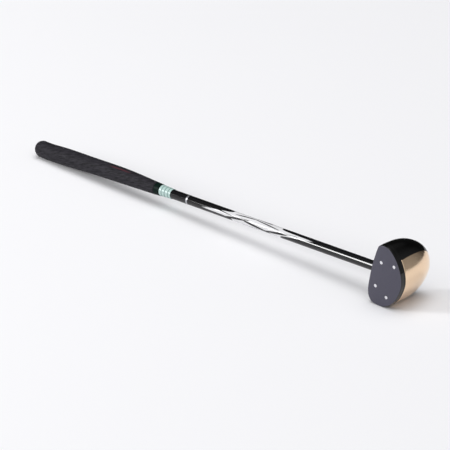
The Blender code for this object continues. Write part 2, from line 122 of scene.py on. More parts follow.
# %% Grid to mesh
def surface(name, points, finish, wrap_rows=False, wrap_columns=True, sharp=35.0, **fields):
    """Skin a grid of points, shape (rows, columns, 3), with faces that point outwards.

    Face i, j joins the points i, j; i, j+1; i+1, j+1 and i+1, j. Wrapping joins the
    last row or column to the first. A field is a grid with one number for each point, or
    one vector, which the mesh keeps under its name for the finish to read.
    """
    rows, columns = points.shape[:2]
    index = np.arange(rows * columns).reshape(rows, columns)
    if wrap_rows:
        index = np.vstack([index, index[:1]])
    if wrap_columns:
        index = np.hstack([index, index[:, :1]])
    corners = np.stack([index[:-1, :-1], index[:-1, 1:], index[1:, 1:], index[1:, :-1]], axis=-1)
    mesh = bpy.data.meshes.new(name)
    mesh.from_pydata(points.reshape(-1, 3).tolist(), [], corners.reshape(-1, 4).tolist())
    for label, grid in fields.items():
        kind, value = ("FLOAT_VECTOR", "vector") if grid.ndim == 3 else ("FLOAT", "value")
        kept = mesh.attributes.new(label, kind, "POINT")
        kept.data.foreach_set(value, grid.astype(np.float32).ravel())
    work = bmesh.new()
    work.from_mesh(mesh)
    bmesh.ops.remove_doubles(work, verts=work.verts, dist=2e-6)
    bmesh.ops.dissolve_degenerate(work, edges=work.edges, dist=1e-6)
    bmesh.ops.recalc_face_normals(work, faces=work.faces)
    closed = all(edge.is_manifold for edge in work.edges)
    core = Vector(points.reshape(-1, 3).mean(axis=0))
    outwards = sum((face.calc_center_median() - core).dot(face.normal) * face.calc_area()
                   for face in work.faces)
    if (work.calc_volume(signed=True) if closed else outwards) < 0:
        bmesh.ops.reverse_faces(work, faces=work.faces)
    work.to_mesh(mesh)
    work.free()
    mesh.materials.append(finish)
    mesh.shade_smooth()
    mesh.set_sharp_from_angle(angle=math.radians(sharp))
    piece = bpy.data.objects.new(name, mesh)
    bpy.context.scene.collection.objects.link(piece)
    print(f"{name}: {len(mesh.polygons)} faces, {'closed' if closed else 'open'}")
    return piece


def dress(piece, slot, *solids):
    """Put a piece on the club in place of the solids that it stands for."""
    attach(piece, BODY)
    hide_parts(*solids)
    return piece


# %% [markdown]
# ## Finishes: two small helpers
# Colours are written as they look on a screen, and one function turns them into the
# linear values that light is computed with. Another adds a shader node.

# %% Helpers for finishes
def colour(code):
    """Linear red, green, blue and alpha of an sRGB colour such as '#5c5a64'."""
    screen = np.array([int(code[i:i + 2], 16) / 255 for i in (1, 3, 5)])
    linear = np.where(screen <= 0.04045, screen / 12.92, ((screen + 0.055) / 1.055) ** 2.4)
    return (*linear.tolist(), 1.0)


def add(tree, kind, inputs=None, **settings):
    """Add a node: settings are its properties, inputs its values or the sockets it reads."""
    made = tree.nodes.new(kind)
    for name, value in settings.items():
        setattr(made, name, value)
    for socket, value in (inputs or {}).items():
        if isinstance(value, bpy.types.NodeSocket):
            tree.links.new(value, made.inputs[socket])
        else:
            made.inputs[socket].default_value = value
    return made


def finish(name, roughness, metallic=0.0, base="#808080", **more):
    """A new Principled material and its node tree and shader."""
    made = bpy.data.materials.new(name)
    made.use_nodes = True
    tree = made.node_tree
    shader = tree.nodes["Principled BSDF"]
    shader.inputs["Base Color"].default_value = colour(base)
    shader.inputs["Roughness"].default_value = roughness
    shader.inputs["Metallic"].default_value = metallic
    for socket, value in more.items():
        shader.inputs[socket.replace("_", " ")].default_value = value
    return made, tree, shader


# %% [markdown]
# ## Black lacquer
# The head is a maple block, stained and poured with a thick polyester lacquer, then
# buffed. The eye sees almost no colour, only the room, on a surface that is very
# slightly uneven where it was rubbed down.

# %% Black lacquer
lacquer, tree, shader = finish("poured_black_lacquer", 0.06, base="#040404")
where = add(tree, "ShaderNodeTexCoord")
swells = add(tree, "ShaderNodeTexNoise", {"Vector": where.outputs["Object"],
                                          "Scale": 60.0, "Detail": 2.0})   # swells of 17 mm
relief = add(tree, "ShaderNodeBump", {"Height": swells.outputs["Fac"], "Strength": 0.03,
                                      "Distance": 0.0004})
tree.links.new(relief.outputs["Normal"], shader.inputs["Normal"])
print("finish:", lacquer.name)

# %% [markdown]
# ## The head's shape
# From the front the head is half an oval: a gently arched crown line, two rounded
# corners and a full curve for the sole. Behind the face the sides open a little and
# then close towards the back, the toe sooner than the heel.
#
# The outline could be traced, but a few curves with honest sizes are easier to change.

# %% The outline from the front
HEAD_LENGTH = 0.098
FACE_HEIGHT = 0.0562
CROWN_RISE = 0.0021
TOE_CORNER = 0.0090
HEEL_CORNER = 0.0195
WIDEST_BELOW = 0.0153
SOLE_OFFSET = 0.0024
TOE_FULLNESS = 0.422
HEEL_FULLNESS = 0.606
QUARTER_HANDLE = 0.5523   # handle length with which a cubic curve draws a quarter circle


def cubic(start, start_aim, end_aim, end, steps):
    """Cubic curve: its four points weighted by (1-t)^3, 3t(1-t)^2, 3t^2(1-t) and t^3."""
    t = np.linspace(0.0, 1.0, steps, endpoint=False)[:, None]
    return ((1 - t) ** 3 * start + 3 * t * (1 - t) ** 2 * start_aim
            + 3 * t * t * (1 - t) * end_aim + t ** 3 * end)


def face_outline(inset=0.0, steps=200):
    """Outline as (toe, crown) points: toe, sole, heel, crown line and back to the toe.

    Inset moves each point inwards along the outline's normal.
    """
    half = HEAD_LENGTH / 2
    lower = FACE_HEIGHT - WIDEST_BELOW
    toe, heel = np.array([half, -WIDEST_BELOW]), np.array([-half, -WIDEST_BELOW])
    sole = np.array([SOLE_OFFSET, -FACE_HEIGHT])
    heel_end, toe_end = np.array([-half + HEEL_CORNER, 0.0]), np.array([half - TOE_CORNER, 0.0])
    crown_half = (toe_end[0] - heel_end[0]) / 2
    slope = 2 * CROWN_RISE / crown_half
    down, right = np.array([0.0, -1.0]), np.array([1.0, 0.0])
    t = np.linspace(-1.0, 1.0, steps, endpoint=False)
    crown = np.column_stack([heel_end[0] + (t + 1) * crown_half, CROWN_RISE * (1 - t * t)])
    outline = np.vstack([
        cubic(toe, toe + down * lower * TOE_FULLNESS,
              sole + right * (half - SOLE_OFFSET) * TOE_FULLNESS, sole, steps),
        cubic(sole, sole - right * (half + SOLE_OFFSET) * HEEL_FULLNESS,
              heel + down * lower * HEEL_FULLNESS, heel, steps),
        cubic(heel, heel - down * WIDEST_BELOW * QUARTER_HANDLE,
              heel_end - np.array([1.0, slope]) * HEEL_CORNER * QUARTER_HANDLE, heel_end, steps // 2),
        crown,
        cubic(toe_end, toe_end + np.array([1.0, -slope]) * TOE_CORNER * QUARTER_HANDLE,
              toe - down * WIDEST_BELOW * QUARTER_HANDLE, toe, steps // 2)])
    along = np.roll(outline, -1, axis=0) - np.roll(outline, 1, axis=0)
    along /= np.linalg.norm(along, axis=1)[:, None]
    return outline + np.column_stack([along[:, 1], -along[:, 0]]) * inset


print("outline:", len(face_outline()), "points")

# %% Sections from the face to the back
HEAD_DEPTH = 0.083
FLARE = 0.014
FLARE_DEPTH = 0.0123
HEEL_RUN = 0.037
TOE_ROUNDING = 2.7
HEEL_ROUNDING = 2.0
HEIGHT_ROUNDING = 1.68
BACK_CENTRE = 0.0357


def closing(y, run_end, depth, rounding):
    """Share of the full width at depth y: (1 - t^n)^(1/n), where t runs from run_end to depth."""
    t = np.clip((y - run_end) / (depth - run_end), 0.0, 1.0)
    return (1.0 - t ** rounding) ** (1.0 / rounding)


def section(y, outline, depth):
    """The outline at depth y: narrowed at each end and closed in height towards the back."""
    ahead = max(0.0, FLARE_DEPTH - y) / FLARE_DEPTH
    flare = 1.0 + FLARE * (1.0 - ahead * ahead)
    toe_side = closing(y, FLARE_DEPTH, depth, TOE_ROUNDING)
    heel_side = closing(y, HEEL_RUN, depth, HEEL_ROUNDING)
    to_heel = (np.minimum(outline[:, 0], 0.0) / outline[:, 0].min()) ** 4
    height = (1 - to_heel) * toe_side ** HEIGHT_ROUNDING + to_heel * heel_side ** HEIGHT_ROUNDING
    across = outline[:, 0] * np.where(outline[:, 0] > 0, toe_side, heel_side) * flare
    crown = (outline[:, 1] + BACK_CENTRE) * height * flare - BACK_CENTRE
    return np.column_stack([across, crown])


# %% [markdown]
# ## Where brass meets wood
# The brass sole's upper edge is a straight cut, a little higher at the back. Each
# section is split where that cut crosses it, and both parts are resampled with a fixed
# number of points. So the faces of wood and brass run along the joint, not across it.

# %% Split each section at the brass edge
SOLE_FRONT = 0.0095
SOLE_THICKNESS = 0.0025
SOLE_EDGE_FRONT = 0.0385
SOLE_EDGE_BACK = 0.0340
GAP = 0.0003
UPPER, LOWER = 150, 170   # points on each part of a section


def edge_level(y):
    """Height of the brass edge at depth y, in the head's frame."""
    return -SOLE_EDGE_FRONT + (SOLE_EDGE_FRONT - SOLE_EDGE_BACK) * (
        (y - SOLE_FRONT) / (HEAD_DEPTH - SOLE_FRONT))


def spaced(line, count):
    """The same open line with count points at equal distances."""
    reach = np.concatenate([[0.0], np.cumsum(np.linalg.norm(np.diff(line, axis=0), axis=1))])
    at = np.linspace(0.0, reach[-1], count)
    return np.column_stack([np.interp(at, reach, line[:, 0]), np.interp(at, reach, line[:, 1])])


def split(loop, level):
    """The loop's upper part, from heel to toe, and its lower part, from toe to heel."""
    highest = int(np.argmax(loop[:, 1]))
    loop = np.roll(loop, -highest, axis=0)
    loop = np.vstack([loop, loop[:1]])
    if level >= loop[0, 1]:
        return np.repeat(loop[:1], UPPER, axis=0), spaced(loop, LOWER)
    below = np.flatnonzero(loop[:, 1] < level)
    cuts = []
    for outer, inner in ((below[0] - 1, below[0]), (below[-1] + 1, below[-1])):
        share = (loop[outer, 1] - level) / (loop[outer, 1] - loop[inner, 1])
        cuts.append(loop[outer] + share * (loop[inner] - loop[outer]))
    lower = np.vstack([cuts[:1], loop[below], cuts[1:]])
    upper = np.vstack([cuts[1:], loop[below[-1] + 1:-1], loop[:below[0]], cuts[:1]])
    return spaced(upper, UPPER), spaced(lower, LOWER)


# %% [markdown]
# ## The wooden body
# The body is one closed grid. Below the brass edge its skin steps in by the thickness
# of the brass, so the brass lies flush in a rebate, as it does on the real head.

# %% Wooden body
PLATE_THICKNESS = 0.0070
SEAM_CHAMFER = 0.0004
DEPTH_ROWS = 72


def depth_rows(front, depth):
    """Depths that crowd together where the back closes: front + (depth - front) sin(a)."""
    return front + (depth - front) * np.sin(np.linspace(0.0, math.pi / 2, DEPTH_ROWS))


def head_rows(depths, outer_inset, lower_inset, edge_gap=0.0):
    """Grid rows of the head, with its own inset above and below the brass edge."""
    rows = []
    upper_line, lower_line = face_outline(outer_inset), face_outline(lower_inset)
    upper_depth, lower_depth = HEAD_DEPTH - outer_inset, HEAD_DEPTH - lower_inset
    front = depths[0]
    for y in depths:
        deep = front + (y - front) * (lower_depth - front) / (HEAD_DEPTH - front)
        level = edge_level(y) + edge_gap
        upper, _ = split(section(min(y, upper_depth), upper_line, upper_depth), level)
        _, lower = split(section(deep, lower_line, lower_depth), level)
        upper_y = y
        if np.ptp(upper, axis=0).max() == 0.0:   # the edge passes above, so nothing is left of it
            upper, upper_y = np.repeat(lower[:1], UPPER, axis=0), deep
        rows.append(np.vstack([in_head(upper[:, 0], np.full(UPPER, upper_y), upper[:, 1]),
                               in_head(lower[:, 0], np.full(LOWER, deep), lower[:, 1])]))
    return rows


body_front = PLATE_THICKNESS + GAP
seam = body_front + SEAM_CHAMFER
wall = SOLE_FRONT - GAP
rebate = SOLE_THICKNESS + GAP
rim = head_rows([body_front], SEAM_CHAMFER, SEAM_CHAMFER, GAP)[0]
front_band = head_rows([seam, (seam + wall) / 2, wall], 0.0, 0.0, GAP)
behind = head_rows(list(depth_rows(wall, HEAD_DEPTH)), 0.0, rebate, GAP)
cap = np.repeat(rim.mean(axis=0)[None], len(rim), axis=0)
body = surface("head_body_wood", np.stack([cap, rim, *front_band, *behind]), lacquer)

# %% [markdown]
# The shaft goes down a blind hole in the crown, whose mouth is wider for the foot of
# the ferrule. A round cutter takes both out of the body in one cut. Such a cut can leave
# a facet out of a narrow wall, so whatever is still open after it is filled.

# %% Round pieces and cutters
def turned(profile, count=96):
    """A profile of (radius, along) carried round the shaft's line: points, along and angle."""
    radius, along = np.array(profile, float).T
    turn = np.linspace(0.0, math.tau, count, endpoint=False)
    along, angle = np.meshgrid(along, turn, indexing="ij")
    return on_shaft(along, radius[:, None] + 0 * turn, angle), along, angle


def carve(piece, *cutters):
    """Cut the cutters out of a piece for good, and take them away."""
    for cutter in cutters:
        step = piece.modifiers.new("carve", "BOOLEAN")
        step.object = cutter
        step.solver = "EXACT"
    shown = piece.evaluated_get(bpy.context.evaluated_depsgraph_get())
    mesh = bpy.data.meshes.new_from_object(shown)
    work = bmesh.new()
    work.from_mesh(mesh)
    rims = [edge for edge in work.edges if edge.is_boundary]
    bmesh.ops.holes_fill(work, edges=rims, sides=4)
    bmesh.ops.recalc_face_normals(work, faces=work.faces)
    closed = all(edge.is_manifold for edge in work.edges)
    work.to_mesh(mesh)
    work.free()
    piece.modifiers.clear()
    piece.data = mesh
    mesh.shade_smooth()
    mesh.set_sharp_from_angle(angle=math.radians(35.0))
    for cutter in cutters:
        bpy.data.objects.remove(cutter)
    print(f"{piece.name}: {len(mesh.polygons)} faces after carving, {'closed' if closed else 'open'}")


SHAFT_RADIUS = 0.0076
SLEEVE_RADIUS = SHAFT_RADIUS + GAP
SHAFT_IN_HEAD = 0.0380
FERRULE_SEAT = 0.0045
FERRULE_FOOT = 0.0186
CUTTER_TOP = 0.03         # how far the cutter stands out of the crown
bore_floor, seat_floor = -SHAFT_IN_HEAD - GAP, -FERRULE_SEAT - GAP
seat_radius = FERRULE_FOOT / 2 + GAP
bore, _, _ = turned([(0, bore_floor), (SLEEVE_RADIUS, bore_floor), (SLEEVE_RADIUS, seat_floor),
                     (seat_radius, seat_floor), (seat_radius, CUTTER_TOP), (0, CUTTER_TOP)], 48)
carve(body, surface("bore", bore, lacquer))
dress(body, "lacquered_wood", "head_body")

# %% [markdown]
# ## Brass
# The sole is sheet brass, pressed to the curve of the head, then polished and clear
# coated. It mirrors the room: the pale floor below, the darker room above. Fine lines
# from the polishing wheel run from front to back and pull each reflection out a little.

# %% Polished brass
brass, tree, shader = finish("wheel_polished_brass", 0.16, 1.0, base="#f6d8b6", Coat_Weight=0.6)
where = add(tree, "ShaderNodeTexCoord")
wheel = add(tree, "ShaderNodeMapping", {   # lines 25 mm long, drawn 1.1 mm wide to show at all
    "Vector": where.outputs["Object"], "Scale": (900.0, 40.0, 900.0)})
lines = add(tree, "ShaderNodeTexNoise", {"Vector": wheel.outputs["Vector"], "Scale": 1.0,
                                         "Detail": 3.0})
rough = add(tree, "ShaderNodeMapRange", {"Value": lines.outputs["Fac"], "To Min": 0.10,
                                         "To Max": 0.22})
tree.links.new(rough.outputs["Result"], shader.inputs["Roughness"])
relief = add(tree, "ShaderNodeBump", {"Height": lines.outputs["Fac"], "Strength": 0.05,
                                      "Distance": 0.0002})
tree.links.new(relief.outputs["Normal"], shader.inputs["Normal"])
print("finish:", brass.name)

# %% [markdown]
# The shell is one open skin. Solidify gives it the thickness of the sheet, Bevel breaks
# its edges, and Weld merges the points that the bevel brings together at the back.

# %% Brass sole
EDGE_ROUNDING = 0.0004
WELD_DISTANCE = 0.00001
rows = head_rows(list(depth_rows(SOLE_FRONT, HEAD_DEPTH)), 0.0, 0.0)
sole = surface("brass_sole_shell", np.stack(rows)[:, UPPER:], brass, wrap_columns=False)
shell = sole.modifiers.new("sheet", "SOLIDIFY")
shell.thickness = SOLE_THICKNESS
shell.offset = -1.0
edge = sole.modifiers.new("polished edge", "BEVEL")
edge.width = EDGE_ROUNDING
edge.segments = 3
edge.limit_method = "ANGLE"
edge.angle_limit = math.radians(50.0)
weld = sole.modifiers.new("merged points", "WELD")
weld.merge_threshold = WELD_DISTANCE
dress(sole, "polished_brass", "brass_sole")

# %% [markdown]
# ## Face plate
# The striking face is a plate of fibre resin, 7 mm thick. Its front is ground to a
# satin grey, and its edge is lacquered black with the rest of the head.

# %% Face plate finishes
satin, tree, shader = finish("ground_grey_resin", 0.5, Specular_IOR_Level=0.3)
where = add(tree, "ShaderNodeTexCoord")
dust = add(tree, "ShaderNodeTexNoise", {"Vector": where.outputs["Object"],
                                        "Scale": 1400.0, "Detail": 2.0})   # grit marks of 0.7 mm
tone = add(tree, "ShaderNodeMix", {"Factor": dust.outputs["Fac"], 6: colour("#474552"),
                                   7: colour("#51505d")}, data_type="RGBA")
tree.links.new(tone.outputs[2], shader.inputs["Base Color"])
relief = add(tree, "ShaderNodeBump", {"Height": dust.outputs["Fac"], "Strength": 0.15,
                                      "Distance": 0.0001})
tree.links.new(relief.outputs["Normal"], shader.inputs["Normal"])
print("finish:", satin.name)

# %% Face plate
PLATE_CHAMFER = 0.0005
PLATE_COUNT = 320


def plate_row(y, inset):
    """One closed row of the plate's outline at depth y."""
    loop = section(y, face_outline(inset), HEAD_DEPTH)
    line = spaced(np.vstack([loop, loop[:1]]), PLATE_COUNT + 1)[:-1]
    return in_head(line[:, 0], np.full(PLATE_COUNT, y), line[:, 1])


turns = np.linspace(0.0, math.pi / 2, 5)
rows = [plate_row(PLATE_CHAMFER * (1 - math.cos(a)), PLATE_CHAMFER * (1 - math.sin(a)))
        for a in turns]
rows += [plate_row(y, 0.0) for y in (0.0022, 0.0044, PLATE_THICKNESS - SEAM_CHAMFER)]
rows.append(plate_row(PLATE_THICKNESS, SEAM_CHAMFER))
front_middle = np.repeat(rows[0].mean(axis=0)[None], PLATE_COUNT, axis=0)
back_middle = np.repeat(rows[-1].mean(axis=0)[None], PLATE_COUNT, axis=0)
plate = surface("face_plate_ground", np.stack([front_middle, *rows, back_middle]), satin)

# %% [markdown]
# Four pins hold the plate. Each sits in a hole with a hair of clearance, which shows
# as a thin dark ring round its bright head. They are steel, ground on a belt: the eye
# sees four small bright points, none of them quite even.

# %% Pin finish
steel, tree, shader = finish("ground_bright_steel", 0.18, 1.0, base="#e6e6ea")
where = add(tree, "ShaderNodeTexCoord")
polish = add(tree, "ShaderNodeTexNoise", {   # patches of 1 mm
    "Vector": where.outputs["Object"], "Scale": 900.0})
rough = add(tree, "ShaderNodeMapRange", {"Value": polish.outputs["Fac"], "To Min": 0.12,
                                         "To Max": 0.26})
tree.links.new(rough.outputs["Result"], shader.inputs["Roughness"])
print("finish:", steel.name)

# %% Pins
SCREW_HEAD = 0.0052
HEAD_EDGE, CONE_END = 0.0008, 0.0018   # depths of the head's edge and of its cone
SCREW_SHANK = 0.0032
SCREW_LENGTH = 0.0180
POINT = 0.001
DOME = 0.0004
CUT = 0.01                             # how far a cutter runs out in front and behind
CROWN_ROW, CROWN_APART = 0.0121, 0.0410
SOLE_ROW, SOLE_APART = 0.0355, 0.0543


def pin_grid(toe, crown, profile, count=48):
    """A profile of (radius, depth) carried round an axis that is square to the face."""
    radius, depth = np.array(profile, float).T
    angle = np.linspace(0.0, math.tau, count, endpoint=False)
    return in_head(toe + radius[:, None] * np.cos(angle), depth[:, None] + 0 * angle,
                   crown + radius[:, None] * np.sin(angle))


dome = np.linspace(0.0, 1.0, 9)
head_line = [(SCREW_HEAD / 2 * t, -DOME * (1 - t * t)) for t in dome]
pin_line = head_line + [(SCREW_HEAD / 2, HEAD_EDGE), (SCREW_SHANK / 2, CONE_END),
                        (SCREW_SHANK / 2, SCREW_LENGTH), (0.0, SCREW_LENGTH + POINT)]
hole, shank_hole = SCREW_HEAD / 2 + GAP, SCREW_SHANK / 2 + GAP
deeper = 0.0004           # both edges of the countersink lie this much below the pin's
hole_line = [(0.0, -CUT), (hole, -CUT), (hole, HEAD_EDGE + deeper),
             (shank_hole, CONE_END + deeper), (shank_hole, CUT), (0.0, CUT)]
holes = []
for row, down, apart in (("crown", CROWN_ROW, CROWN_APART), ("sole", SOLE_ROW, SOLE_APART)):
    for end, side in (("toe", 0.5), ("heel", -0.5)):
        pin = surface(f"pin_{row}_{end}", pin_grid(side * apart, -down, pin_line), steel)
        dress(pin, "polished_steel", f"face_screw_{row}_{end}")
        holes.append(surface("hole", pin_grid(side * apart, -down, hole_line), steel))
carve(plate, *holes)

# %% Grey front, black edge
FRONT_SHARE = 0.1         # of the chamfer's depth: faces behind that are lacquered
plate.data.materials.clear()
plate.data.materials.append(satin)
plate.data.materials.append(lacquer)
faces = len(plate.data.polygons)
centres = np.empty(faces * 3)
plate.data.polygons.foreach_get("center", centres)
depth = centres.reshape(-1, 3)[:, 1] - (crown_point[1] - SHAFT_SETBACK)
lacquered = (depth > PLATE_CHAMFER * FRONT_SHARE).astype(np.int32)
plate.data.polygons.foreach_set("material_index", lacquered)
print("plate:", faces - int(lacquered.sum()), "grey faces,", int(lacquered.sum()), "lacquered")
dress(plate, "satin_grey_resin", "face_plate")

# %% [markdown]
# ## The shaft
# A park golf shaft is a straight tube, wound from carbon and glass cloth, sprayed black
# and clear coated. A white band of flowing shapes is printed round its middle.
#
# The print could be drawn with shader nodes. A formula in numpy is easier to read: each
# point of the mesh keeps how far inside the white it lies, and the finish only has to ask
# whether that number is above nought. The edge stays sharp even on a coarse mesh.

# %% Gloss paint with a print
paint, tree, shader = finish("printed_gloss_paint", 0.10)
where = add(tree, "ShaderNodeTexCoord")
inside_white = add(tree, "ShaderNodeAttribute", attribute_name="print")
mask = add(tree, "ShaderNodeMapRange", {"Value": inside_white.outputs["Fac"], "From Min": 0.0,
                                        "From Max": 0.12})
cloud = add(tree, "ShaderNodeTexNoise", {   # clouds of 8 mm
    "Vector": where.outputs["Object"], "Scale": 130.0})
dark = add(tree, "ShaderNodeMix", {"Factor": cloud.outputs["Fac"], 6: colour("#050506"),
                                   7: colour("#0c0c0f")}, data_type="RGBA")
tone = add(tree, "ShaderNodeMix", {"Factor": mask.outputs["Result"], 6: dark.outputs[2],
                                   7: colour("#dcdcde")}, data_type="RGBA")
tree.links.new(tone.outputs[2], shader.inputs["Base Color"])
peel = add(tree, "ShaderNodeTexNoise", {   # orange peel of 2.5 mm, as sprayed paint has
    "Vector": where.outputs["Object"], "Scale": 400.0})
relief = add(tree, "ShaderNodeBump", {"Height": peel.outputs["Fac"], "Strength": 0.05,
                                      "Distance": 0.0001})
tree.links.new(relief.outputs["Normal"], shader.inputs["Normal"])
print("finish:", paint.name)

# %% The print
PRINT_FROM, PRINT_TO = 0.131, 0.376
FULL_WHITE = 0.42          # share of the half length that is white all round
TONGUES = 3                # white tongues at each end
TONGUE_ANGLE = math.radians(62.0)
TONGUE_LEAN = math.radians(24.0)
REEDS = (   # place along the shaft, angle in degrees, degrees for each mm, length and width
    (0.188, 60, 0.5, 0.040, 0.0012), (0.232, 28, -0.6, 0.050, 0.0016),
    (0.276, 22, 0.6, 0.044, 0.0016), (0.324, 56, -0.6, 0.046, 0.0014),
    (0.210, 86, 0.9, 0.050, 0.0031), (0.252, 97, -0.8, 0.054, 0.0033),
    (0.294, 80, 0.9, 0.050, 0.0030))


def flowing_print(along, angle):
    """How far inside the white each point lies: white above nought.

    Towards each end the white splits into tongues: cos(n (angle - lean)) + 1 - 2w, a little
    widened, where w is the way to the tip to the power 0.4. Slim reeds are left out of it,
    each sqrt(across^2 + along^2) - 1 in its own half width and length, once for each tongue.
    """
    middle_at, half = (PRINT_FROM + PRINT_TO) / 2, (PRINT_TO - PRINT_FROM) / 2
    out = (along - middle_at) / half
    taper = np.clip((np.abs(out) - FULL_WHITE) / (1 - FULL_WHITE), 0.0, 1.0)
    lean = TONGUE_ANGLE + TONGUE_LEAN * taper * np.sign(out)
    white = np.cos(TONGUES * (angle - lean)) + 1.15 - 2.2 * taper ** 0.4
    pitch = math.tau / TONGUES
    for at, degrees, slope, length, width in REEDS:
        line = np.radians(degrees + slope * (along - at) * 1000)
        across = ((angle - line + pitch / 2) % pitch - pitch / 2) * SHAFT_RADIUS
        white = np.minimum(white, np.hypot(across / (width / 2), (along - at) / (length / 2)) - 1)
    return np.where(np.abs(out) < 1, white, -1.0)


# %% [markdown]
# The tube is one closed profile, with the shallow seat of the silver ring turned into it.
# It gets a row of points for each millimetre where the print is, and hardly any elsewhere.

# %% Shaft tube
SHAFT_WALL = 0.0014
SHAFT_END = 0.7536
RING_AT, RING_WIDTH = 0.4035, 0.0040
RING_SEAT, RING_GAP, RING_THICKNESS = 0.0004, 0.0002, 0.0004
inside = SHAFT_RADIUS - SHAFT_WALL
seat = SHAFT_RADIUS - RING_SEAT
ring_from, ring_to = RING_AT - RING_GAP, RING_AT + RING_WIDTH + RING_GAP
PRINT_STEP, PRINT_MARGIN = 0.001, 0.003   # distance of the rows that carry the print
print_rows = np.arange(PRINT_FROM - PRINT_MARGIN, PRINT_TO + PRINT_MARGIN, PRINT_STEP)
tube_line = [(inside, -SHAFT_IN_HEAD), (SHAFT_RADIUS, -SHAFT_IN_HEAD), (SHAFT_RADIUS, 0.0)]
tube_line += [(SHAFT_RADIUS, at) for at in print_rows]
tube_line += [(SHAFT_RADIUS, ring_from), (seat, ring_from), (seat, ring_to),
              (SHAFT_RADIUS, ring_to), (SHAFT_RADIUS, SHAFT_END), (inside, SHAFT_END)]
grid, along, angle = turned(tube_line, 144)
tube = surface("shaft_tube_painted", grid, paint, wrap_rows=True, print=flowing_print(along, angle))
dress(tube, "black_gloss_paint", "shaft_tube")

# %% [markdown]
# ## Rings and collars
# A bright aluminium ring sits in a shallow seat. Below the grip a mint collar widens
# towards the hand. Three shallow grooves cross it, coloured darker as painted shade,
# and a dark green ring closes the mouth of the grip.
#
# The ring is turned on a lathe and polished, so it mirrors softly. Collar and mouth ring
# are moulded plastic, one pale and shiny, one so dark and dull that it hardly mirrors.

# %% Silver ring's finish
silver, tree, shader = finish("bright_aluminium", 0.3, 1.0, base="#a6a7ab")
where = add(tree, "ShaderNodeTexCoord")
lathe = add(tree, "ShaderNodeTexNoise", {   # tool marks of 0.4 mm
    "Vector": where.outputs["Object"], "Scale": 2500.0})
rough = add(tree, "ShaderNodeMapRange", {"Value": lathe.outputs["Fac"], "To Min": 0.25,
                                         "To Max": 0.4})
tree.links.new(rough.outputs["Result"], shader.inputs["Roughness"])
print("finish:", silver.name)

# %% Collar and mouth ring finishes
mint, tree, shader = finish("mint_moulded_plastic", 0.2)
# Painted shade: the grooves are coloured a darker mint, for the shade that falls in them.
groove = add(tree, "ShaderNodeAttribute", attribute_name="groove")
where = add(tree, "ShaderNodeTexCoord")
cloud = add(tree, "ShaderNodeTexNoise", {   # clouds of 4 mm
    "Vector": where.outputs["Object"], "Scale": 250.0})
pale = add(tree, "ShaderNodeMix", {"Factor": cloud.outputs["Fac"], 6: colour("#a6c0bb"),
                                   7: colour("#b9d1cd")}, data_type="RGBA")
tone = add(tree, "ShaderNodeMix", {"Factor": groove.outputs["Fac"], 6: pale.outputs[2],
                                   7: colour("#5d7c76")}, data_type="RGBA")
tree.links.new(tone.outputs[2], shader.inputs["Base Color"])

green, tree, shader = finish("dark_green_moulded_plastic", 0.42, Specular_IOR_Level=0.08)
where = add(tree, "ShaderNodeTexCoord")
cloud = add(tree, "ShaderNodeTexNoise", {   # clouds of 3 mm
    "Vector": where.outputs["Object"], "Scale": 300.0})
tone = add(tree, "ShaderNodeMix", {"Factor": cloud.outputs["Fac"], 6: colour("#010d0a"),
                                   7: colour("#061f19")}, data_type="RGBA")
tree.links.new(tone.outputs[2], shader.inputs["Base Color"])
print("finishes:", mint.name, green.name)

# %% Rings and collars
GRIP_START = 0.4790
MOUTH_LENGTH, MOUTH_SMALL, MOUTH_LARGE = 0.0120, 0.0192, 0.0202
COLLAR_LENGTH, COLLAR_SMALL, COLLAR_LARGE = 0.0247, 0.0165, 0.0186
mouth_from = GRIP_START - GAP - MOUTH_LENGTH
collar_from = mouth_from - GAP - COLLAR_LENGTH


def sleeve(start, length, small, large, edge=0.0003, grooves=(), steps=60):
    """Line of a sleeve that widens evenly, less a cosine dip at each (middle, width, depth)."""
    at = np.linspace(0.0, length, steps)
    radius = (small + (large - small) * at / length) / 2
    for spot, width, depth in grooves:
        near = np.clip(np.abs(at - spot) / (width / 2), 0.0, 1.0)
        radius = radius - depth * (1 + np.cos(math.pi * near)) / 2
    from_end = np.minimum(at, length - at)
    radius = radius - edge * np.clip(1 - from_end / edge, 0.0, 1.0)
    outside = list(zip(radius, start + at))
    return outside + [(SLEEVE_RADIUS, start + length), (SLEEVE_RADIUS, start)]


ring_radius = seat + RING_GAP + RING_THICKNESS
ring_inside = seat + RING_GAP
ARCH = 0.0002             # how much the ring's edges lie below its middle
arch = np.linspace(-1.0, 1.0, 9)
ring_line = [(ring_radius - ARCH * t * t, RING_AT + RING_WIDTH * (t + 1) / 2) for t in arch]
ring_line += [(ring_inside, RING_AT + RING_WIDTH), (ring_inside, RING_AT)]
grid, _, _ = turned(ring_line)
dress(surface("trim_ring_bright", grid, silver, wrap_rows=True), "silver_ring", "trim_ring")

# %% Collar and mouth ring
GROOVE_WIDTH, GROOVE_DEPTH = 0.0020, 0.0003
GROOVE_FIRST, GROOVE_PITCH = 0.0055, 0.0068
groove_at = [GROOVE_FIRST + i * GROOVE_PITCH for i in range(3)]
grooves = [(at, GROOVE_WIDTH, GROOVE_DEPTH) for at in groove_at]
grid, along, _ = turned(sleeve(collar_from, COLLAR_LENGTH, COLLAR_SMALL, COLLAR_LARGE,
                               grooves=grooves, steps=140))
off = np.min([np.abs(along - collar_from - at) for at in groove_at], axis=0)
# Painted shade in the grooves: full at each groove's middle, gone a millimetre from it.
collar = surface("grip_collar_mint", grid, mint, wrap_rows=True,
                 groove=np.clip(1.5 - off / (GROOVE_WIDTH / 3), 0.0, 1.0))
dress(collar, "mint_collar", "grip_collar")
grid, _, _ = turned(sleeve(mouth_from, MOUTH_LENGTH, MOUTH_SMALL, MOUTH_LARGE))
dress(surface("grip_mouth_green", grid, green, wrap_rows=True), "dark_green_ring",
      "grip_mouth_ring")

